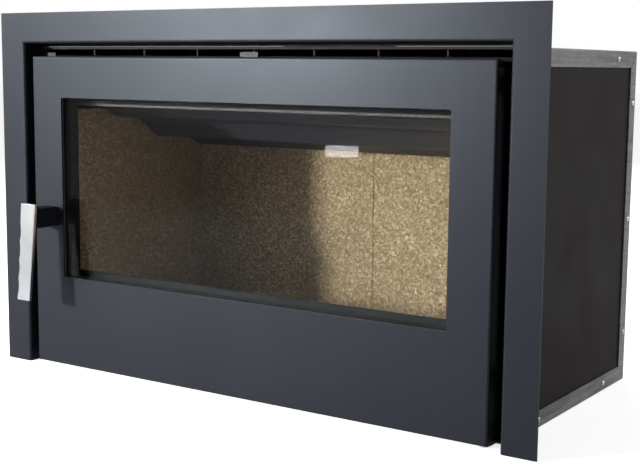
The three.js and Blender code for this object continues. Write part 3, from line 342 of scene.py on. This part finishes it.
LOOKS = {
    "painted_trim": paint("trim_paint", PAINT_BASE, (0.0165, 0.018, 0.0235)),
    "painted_door": paint("door_paint", PAINT_BASE, (0.017, 0.0185, 0.024)),
    "galvanised": galvanised("galvanised_sheet", ZINC_DARK, ZINC_PALE),
    "black_panel": paint(
        "panel_paint", (0.0115, 0.0096, 0.009), (0.0205, 0.0172, 0.016),
        rough=(0.5, 0.62), gloss=0.08, sheen=WARM_GLOSS,
    ),
    "rivet_steel": bare_steel(
        "rivet_zinc", (0.42, 0.43, 0.45), (0.72, 0.73, 0.76), rough=(0.22, 0.36)
    ),
    "black_steel": paint(
        "firebox_paint", (0.007, 0.0075, 0.009), (0.015, 0.0155, 0.018),
        rough=(0.72, 0.85), grain=700.0, gloss=0.1,
    ),
    "baffle_steel": mill_scale("baffle_scale"),
    "fire_board": mineral_board("vermiculite"),
    "window_glass": window_glass("window_ceramic_glass"),
    "fibre_seal": woven_fibre("seal_yarn"),
    "stainless": bare_steel(
        "satin_stainless", (0.46, 0.47, 0.49), (0.53, 0.54, 0.56),
        rough=(0.16, 0.22), grain=2600.0, relief=0.12,
    ),
    "plated_steel": bare_steel(
        "black_zinc", (0.02, 0.0205, 0.024), (0.038, 0.039, 0.044),
        rough=(0.46, 0.56), relief=0.2,
    ),
}
# Paler, glossier paint on the bevels of the door and trim: a painted highlight along their
# edges.
EDGE_HIGHLIGHT_PAINT = paint(
    "painted_edge_highlight", (0.10, 0.105, 0.115), (0.17, 0.175, 0.19), rough=(0.3, 0.38), gloss=0.5
)
# Galvanised with painted shade at its front, for the casing top and the fins in the slot above
# the door.
SHADE_PAINTED_ZINC = galvanised("shade_painted_galvanised_sheet", ZINC_DARK, ZINC_PALE, shade_painted=True)
TARNISHED = galvanised(
    "tarnished_sheet", (0.065, 0.063, 0.062), (0.13, 0.126, 0.122), rough=(0.64, 0.78)
)

# ------------------------------------------------------------------ pieces

SMOOTH_SHEET = math.radians(35)
SMOOTH_TURNED = math.radians(40)
SMOOTH_ROUND = math.radians(80)
BEVEL_ANGLE = math.radians(42)
FLAT_ANGLE = math.radians(0.4)
SAME_POINT = 1e-6

# The widest rounding of each node's edges, in millimetres. The bevel's overlap clamp
# makes it narrower on nodes with short edges, and almost nothing on the door's tray.
EDGES = {
    "trim_frame": 0.45, "door_shell": 0.45, "door_inner_panel": 0.3,
    "casing_top": 0.3, "casing_bottom": 0.3, "casing_back": 0.3,
    "casing_side_right": 0.3, "casing_side_left": 0.3,
    "firebox_front_frame": 0.5, "firebox_shell": 0.6, "baffle": 0.6,
    "air_slider": 0.3, "air_wash_deflector": 0.3, "flue_collar": 0.4,
    "lining_board_right": 1.2, "lining_board_left": 1.2, "lining_board_floor": 1.2,
    "lining_board_back_right": 1.2, "lining_board_back_left": 1.2,
    "handle_stem": 0.6, "door_glass": 0.6, "glass_retainer": 0.35, "glass_gasket": 0.7,
    "hinge_bracket_upper": 0.5, "hinge_bracket_lower": 0.5,
    "latch_cam": 0.5, "latch_keeper": 0.5,
    "hinge_pin_upper": 0.5, "hinge_pin_lower": 0.5,
    "hinge_bush_upper": 0.5, "hinge_bush_lower": 0.5,
    "handle_grip": 0.5, "support_rail_right": 0.5, "support_rail_left": 0.5,
    "trim_bracket_right_lower": 0.3, "trim_bracket_right_upper": 0.3,
    "trim_bracket_left_lower": 0.3, "trim_bracket_left_upper": 0.3,
}
# Nodes whose rounded edges get the painted highlight.
EDGE_HIGHLIGHT_NODES = ("door_shell", "trim_frame")


def look_of(node):
    # The casing top and the convection fins take the painted shade of the slot.
    if node.startswith("convection_fin") or node == "casing_top":
        return SHADE_PAINTED_ZINC
    return TARNISHED if node == "air_wash_deflector" else LOOKS[SLOT_OF[node]]


def wear(obj, look):
    obj.data.materials.clear()
    obj.data.materials.append(look)


def corners_of(node):
    return (Vector(corner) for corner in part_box(node))


def mesh_from(bm, name):
    mesh = bpy.data.meshes.new(name)
    bm.to_mesh(mesh)
    bm.free()
    return mesh


def new_piece(name, mesh, slot, body, smooth):
    obj = bpy.data.objects.new(name, mesh)
    bpy.context.scene.collection.objects.link(obj)
    wear(obj, LOOKS[slot])
    mesh.shade_smooth()
    mesh.set_sharp_from_angle(angle=smooth)
    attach(obj, body)
    return obj


def plain_mesh(node):
    """The node's mesh with its split corners joined and flat faces merged."""
    bm = bmesh.new()
    bm.from_mesh(NODES[node].data)
    bmesh.ops.remove_doubles(bm, verts=bm.verts, dist=SAME_POINT)
    bmesh.ops.dissolve_limit(bm, angle_limit=FLAT_ANGLE, verts=bm.verts, edges=bm.edges)
    return mesh_from(bm, node + "_finished")


def finished(node, width):
    """A copy of a CAD node, with its edges rounded as far as the clamp lets them be."""
    obj = new_piece(
        node + "_finished", plain_mesh(node), SLOT_OF[node], BODY_OF[node], SMOOTH_SHEET
    )
    wear(obj, look_of(node))
    bevel = obj.modifiers.new("rounded_edges", "BEVEL")
    bevel.width = width
    bevel.segments = 2
    bevel.limit_method = "ANGLE"
    bevel.angle_limit = BEVEL_ANGLE
    bevel.use_clamp_overlap = True
    # The bevel faces of these nodes take the paler paint: a painted highlight on the edges.
    if node in EDGE_HIGHLIGHT_NODES:
        obj.data.materials.append(EDGE_HIGHLIGHT_PAINT)
        bevel.material = 1
    flat = obj.modifiers.new("flat_faces", "WEIGHTED_NORMAL")
    flat.keep_sharp = True
    flat.weight = 100
    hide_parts(node)


for node in SLOT_OF:
    wear(NODES[node], look_of(node))
for node, width in EDGES.items():
    finished(node, width * MM)


def lathe(name, profile, sides, slot, body, place):
    """A closed turned piece: profile points are (radius, height) in millimetres."""
    bm = bmesh.new()
    rings = []
    for radius, height in profile:
        if radius == 0:
            rings.append([bm.verts.new((0, 0, height * MM))] * sides)
            continue
        turns = (2 * math.pi * i / sides for i in range(sides))
        rings.append([
            bm.verts.new((radius * MM * math.cos(t), radius * MM * math.sin(t), height * MM))
            for t in turns
        ])
    for lower, upper in zip(rings, rings[1:]):
        for i in range(sides):
            j = (i + 1) % sides
            corners = dict.fromkeys((lower[i], lower[j], upper[j], upper[i]))
            bm.faces.new(corners)
    bmesh.ops.recalc_face_normals(bm, faces=bm.faces)
    bm.transform(place)
    return new_piece(name, mesh_from(bm, name), slot, body, SMOOTH_TURNED)


BLIND_RIVET = [
    (0, -5), (2, -5), (2, 0), (3.4, 0), (3.4, 0.3), (3.2, 0.75), (2.75, 1.15), (2.1, 1.5),
    (1.6, 1.64), (1.4, 1.6), (1.3, 1.1), (1.2, 0.85), (1.0, 0.8), (0.85, 1.0), (0.6, 1.1),
    (0, 1.12),
]
RIVET_HEAD_HEIGHT = 1.7 * MM
RIVET_SIDES = 24


def blind_rivet(node):
    """A domed rivet with the broken mandrel down in its middle."""
    low, high = corners_of(node)
    middle = (low + high) / 2
    outward = 1 if middle.x > 0 else -1
    head = high.x if outward > 0 else low.x
    seat = Vector((head - outward * RIVET_HEAD_HEIGHT, middle.y, middle.z))
    turn = Matrix.Rotation(outward * math.radians(90), 4, "Y")
    place = Matrix.Translation(seat) @ turn
    rivet = lathe(
        node + "_head", BLIND_RIVET, RIVET_SIDES, "rivet_steel", BODY_OF[node], place
    )
    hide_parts(node)


for node in SLOT_OF:
    if node.startswith("rivet_"):
        blind_rivet(node)

ROPE_RADIUS = 3.2 * MM
ROPE_CORNER = 12 * MM
ROPE_STEP = 0.9 * MM
ROPE_SIDES = 16
ROPE_STRANDS = 4
CORNER_STEPS = 12


def rounded_loop(low, high, corner, step):
    """Points and outward normals round a rectangle in x and z, evenly spaced."""
    corners = [
        (high.x, high.z, 0), (low.x, high.z, 90), (low.x, low.z, 180), (high.x, low.z, 270),
    ]
    stops = []
    for x, z, start in corners:
        cx = x - math.copysign(corner, x - (low.x + high.x) / 2)
        cz = z - math.copysign(corner, z - (low.z + high.z) / 2)
        for i in range(CORNER_STEPS + 1):
            t = math.radians(start + 90 * i / CORNER_STEPS)
            out = Vector((math.cos(t), math.sin(t)))
            stops.append((Vector((cx, cz)) + corner * out, out))
    loop = []
    for (a, out_a), (b, out_b) in zip(stops, stops[1:] + stops[:1]):
        count = max(1, round((b - a).length / step))
        for k in range(count):
            share = k / count
            loop.append((a.lerp(b, share), out_a.lerp(out_b, share).normalized()))
    return loop


def rope_seal(node):
    """Braided glass-fibre rope, laid in the door's channel."""
    low, high = corners_of(node)
    inset = Vector((ROPE_RADIUS, 0, ROPE_RADIUS))
    loop = rounded_loop(low + inset, high - inset, ROPE_CORNER, ROPE_STEP)
    middle = (low.y + high.y) / 2
    lays = round(len(loop) * ROPE_STEP / (2 * math.pi * ROPE_RADIUS)) * 2 * math.pi
    bm = bmesh.new()
    rings = []
    for k, (at, out) in enumerate(loop):
        lay = lays * k / len(loop)
        cross = math.sin(ROPE_STRANDS * 2 * lay)
        ring = []
        for i in range(ROPE_SIDES):
            t = 2 * math.pi * i / ROPE_SIDES
            over = math.cos(ROPE_STRANDS * (t + lay)) * (1 + cross)
            under = math.cos(ROPE_STRANDS * (t - lay)) * (1 - cross)
            radius = ROPE_RADIUS * (0.9 + 0.05 * max(over, under))
            side = at + radius * math.cos(t) * out
            ring.append(bm.verts.new((side.x, middle + radius * math.sin(t), side.y)))
        rings.append(ring)
    for ring, after in zip(rings, rings[1:] + rings[:1]):
        for i in range(ROPE_SIDES):
            j = (i + 1) % ROPE_SIDES
            bm.faces.new((ring[i], ring[j], after[j], after[i]))
    bmesh.ops.recalc_face_normals(bm, faces=bm.faces)
    name = node + "_braid"
    rope = new_piece(name, mesh_from(bm, name), SLOT_OF[node], BODY_OF[node], SMOOTH_ROUND)
    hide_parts(node)


rope_seal("door_rope_seal")

PAN_HEAD = [
    (0, -3), (1.6, -3), (1.6, 0), (3.6, 0), (3.7, 0.5), (3.4, 1.25), (2.7, 1.75), (1.9, 1.95),
    (1.7, 1.9), (1.55, 0.9), (0, 0.8),
]
SCREW_SIDES = 20
SCREW_INSET = 11 * MM
SEAL_RIB_HEIGHT = 3.4 * MM  # the ribs stand this far out of the panel's sheet


def panel_screws():
    """Pan-head screws that hold the inner panel into the door's tray."""
    low, high = corners_of("door_inner_panel")
    rear = high.y - SEAL_RIB_HEIGHT
    turn = Matrix.Rotation(math.radians(-90), 4, "X")
    columns = [
        low.x + SCREW_INSET * 3, low.x / 2, 0.0, high.x / 2, high.x - SCREW_INSET * 3,
    ]
    for row, z in (("lower", low.z + SCREW_INSET), ("upper", high.z - SCREW_INSET)):
        for k, x in enumerate(columns, 1):
            place = Matrix.Translation((x, rear, z)) @ turn
            lathe(f"panel_screw_{row}_{k}", PAN_HEAD, SCREW_SIDES, "rivet_steel", "door", place)


panel_screws()

FLUE_RADIUS = 75 * MM
WELD_RISE = 3.2 * MM       # the weld's foot above the firebox
WELD_OFFSET = 0.4 * MM     # the bead's middle, out of the corner that it fills
WELD_SIZE = 1.5
WELD_RIPPLE = 0.22
WELD_WANDER = 0.12
WELD_RINGS = 360
WELD_SIDES = 8
WELD_RIPPLES = 90


def weld_bead(name, centre, radius, height, body):
    """A hand-run fillet of overlapping ripples round a tube."""
    bm = bmesh.new()
    rings = []
    for k in range(WELD_RINGS):
        t = 2 * math.pi * k / WELD_RINGS
        ripple = WELD_RIPPLE * math.sin(WELD_RIPPLES * t)
        wander = WELD_WANDER * math.sin(7 * t + 1.3)
        size = (WELD_SIZE + ripple + wander) * MM
        out = Vector((math.cos(t), math.sin(t), 0))
        ring = []
        for i in range(WELD_SIDES):
            a = 2 * math.pi * i / WELD_SIDES
            away = radius + WELD_OFFSET + size * math.cos(a)
            up = height + WELD_OFFSET + size * math.sin(a)
            ring.append(bm.verts.new(Vector((centre.x, centre.y, up)) + away * out))
        rings.append(ring)
    for ring, after in zip(rings, rings[1:] + rings[:1]):
        for i in range(WELD_SIDES):
            j = (i + 1) % WELD_SIDES
            bm.faces.new((ring[i], after[i], after[j], ring[j]))
    bmesh.ops.recalc_face_normals(bm, faces=bm.faces)
    new_piece(name, mesh_from(bm, name), "black_steel", body, SMOOTH_ROUND)


collar_low, collar_high = corners_of("flue_collar")
firebox_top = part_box("firebox_shell")[1][2]
weld_bead(
    "flue_weld", (collar_low + collar_high) / 2, FLUE_RADIUS, firebox_top + WELD_RISE, "casing"
)

# ------------------------------------------------------------------ camera

CAMERA_AT = Vector((0.89536, -1.3685, 0.40912))
YAW, PITCH, ROLL = (math.radians(a) for a in (-33.709, -7.716, 0.555))
ahead = Vector((
    math.sin(YAW) * math.cos(PITCH),
    math.cos(YAW) * math.cos(PITCH),
    math.sin(PITCH),
))
level = Vector((math.cos(YAW), -math.sin(YAW), 0))
upward = level.cross(ahead)
right = math.cos(ROLL) * level + math.sin(ROLL) * upward
above = -math.sin(ROLL) * level + math.cos(ROLL) * upward

camera = bpy.data.objects.new("camera", bpy.data.cameras.new("camera"))
camera.data.sensor_width = 36.0
camera.data.lens = 68.59
camera.data.clip_start = 0.05
camera.matrix_world = Matrix.Translation(CAMERA_AT) @ Matrix(
    (right, above, -ahead)
).transposed().to_4x4()
bpy.context.scene.collection.objects.link(camera)
bpy.context.scene.camera = camera

# ------------------------------------------------------------------ studio

FLOOR_SIZE = 40.0
FLOOR_DROP = 0.0004        # below the object's lowest point
FLOOR_GLOW = 0.8
FLOOR_MIRRORED = 0.45      # how much of the glow a mirrored ray sees
SKY_FILL = 0.05
SKY_MIRRORED = 0.9
OBJECT_MIDDLE = (0.0, -0.15, 0.22)
WINDOW_GLINT = (0.149, -0.1975, 0.314)  # where the pane mirrors the glint lamp
WARM = (1.0, 0.97, 0.92)
COOL = (0.88, 0.94, 1.0)
WHITE = (1, 1, 1)


def lamp(name, at, target, size, power, color=WHITE, spread=180):
    """A flat rectangular lamp that faces the target; spread is in degrees."""
    light = bpy.data.lights.new(name, "AREA")
    light.shape = "RECTANGLE"
    light.size, light.size_y = size
    light.energy = power
    light.color = color
    light.spread = math.radians(spread)
    obj = bpy.data.objects.new(name, light)
    obj.location = at
    obj.rotation_euler = (Vector(target) - Vector(at)).to_track_quat("-Z", "Y").to_euler()
    bpy.context.scene.collection.objects.link(obj)


def around(azimuth, elevation, distance, target=OBJECT_MIDDLE):
    """A point and its target: azimuth is degrees left of the front."""
    turn, rise = math.radians(azimuth), math.radians(elevation)
    way = Vector((
        -math.sin(turn) * math.cos(rise), -math.cos(turn) * math.cos(rise), math.sin(rise),
    ))
    return Vector(target) + distance * way, target


lamp("key_light", *around(34, 9, 4.0), size=(0.33, 0.4), power=7.2, color=WARM, spread=30)
lamp("side_panel", *around(62, 22, 2.6), size=(1.6, 1.0), power=22.0, color=COOL, spread=120)
lamp("handle_light", *around(14, 22, 3.0), size=(0.4, 0.4), power=2.5)
lamp("glint", *around(32.5, -3.9, 1.6, WINDOW_GLINT), size=(0.08, 0.028), power=0.42)
lamp("top_light", (0.2, 0.3, 2.6), (0.0, 0.0, 0.3), size=(2.2, 2.2), power=5.0, color=COOL)
lamp("rear_light", (2.2, 1.6, 1.5), (0.5, 0.2, 0.0), size=(1.0, 1.0), power=16.0)
lamp("back_wash", (-1.6, 2.4, 1.7), (0.0, 0.1, 0.2), size=(2.0, 1.4), power=40.0)


def seen_directly(nodes, mirrored_share):
    """1 for the camera's rays and through glass, less for mirrored ones, 0 once scattered."""
    path = nodes.add("ShaderNodeLightPath").outputs
    mirrored = nodes.math("MULTIPLY", path["Is Glossy Ray"], mirrored_share)
    through = nodes.math("MAXIMUM", path["Is Transmission Ray"], mirrored)
    any_of = nodes.math("MAXIMUM", path["Is Camera Ray"], through)
    unscattered = nodes.math("LESS_THAN", path["Diffuse Depth"], 0.5)
    return nodes.math("MULTIPLY", any_of, unscattered)


def white_floor():
    """White to the eye; its glow reaches the object only as a weaker reflection."""
    half = FLOOR_SIZE / 2
    low = CAD_BOX[0][2] - FLOOR_DROP
    corners = [(-half, -half, low), (half, -half, low), (half, half, low), (-half, half, low)]
    mesh = bpy.data.meshes.new("floor")
    mesh.from_pydata(corners, [], [(0, 1, 2, 3)])
    floor = bpy.data.objects.new("floor", mesh)
    bpy.context.scene.collection.objects.link(floor)
    s = Shader("floor_white")
    s.set(Base_Color=(0.8, 0.8, 0.8, 1), Roughness=0.9)
    glow = s.add("ShaderNodeEmission")
    strength = s.math("MULTIPLY", seen_directly(s, FLOOR_MIRRORED), FLOOR_GLOW)
    s.link(strength, glow.inputs["Strength"])
    s.join("ShaderNodeAddShader", glow)
    mesh.materials.append(s.material)


def white_sky():
    """White to the eye and in reflections, and a weak even light on the object."""
    world = bpy.data.worlds.new("studio")
    bpy.context.scene.world = world
    world.use_nodes = True
    sky = Nodes(world.node_tree)
    back = sky.tree.nodes["Background"]
    back.inputs["Color"].default_value = (1, 1, 1, 1)
    strength = sky.span(seen_directly(sky, SKY_MIRRORED), SKY_FILL, 1.0)
    sky.link(strength, back.inputs["Strength"])


white_floor()
white_sky()
bpy.context.scene.view_settings.view_transform = "Standard"
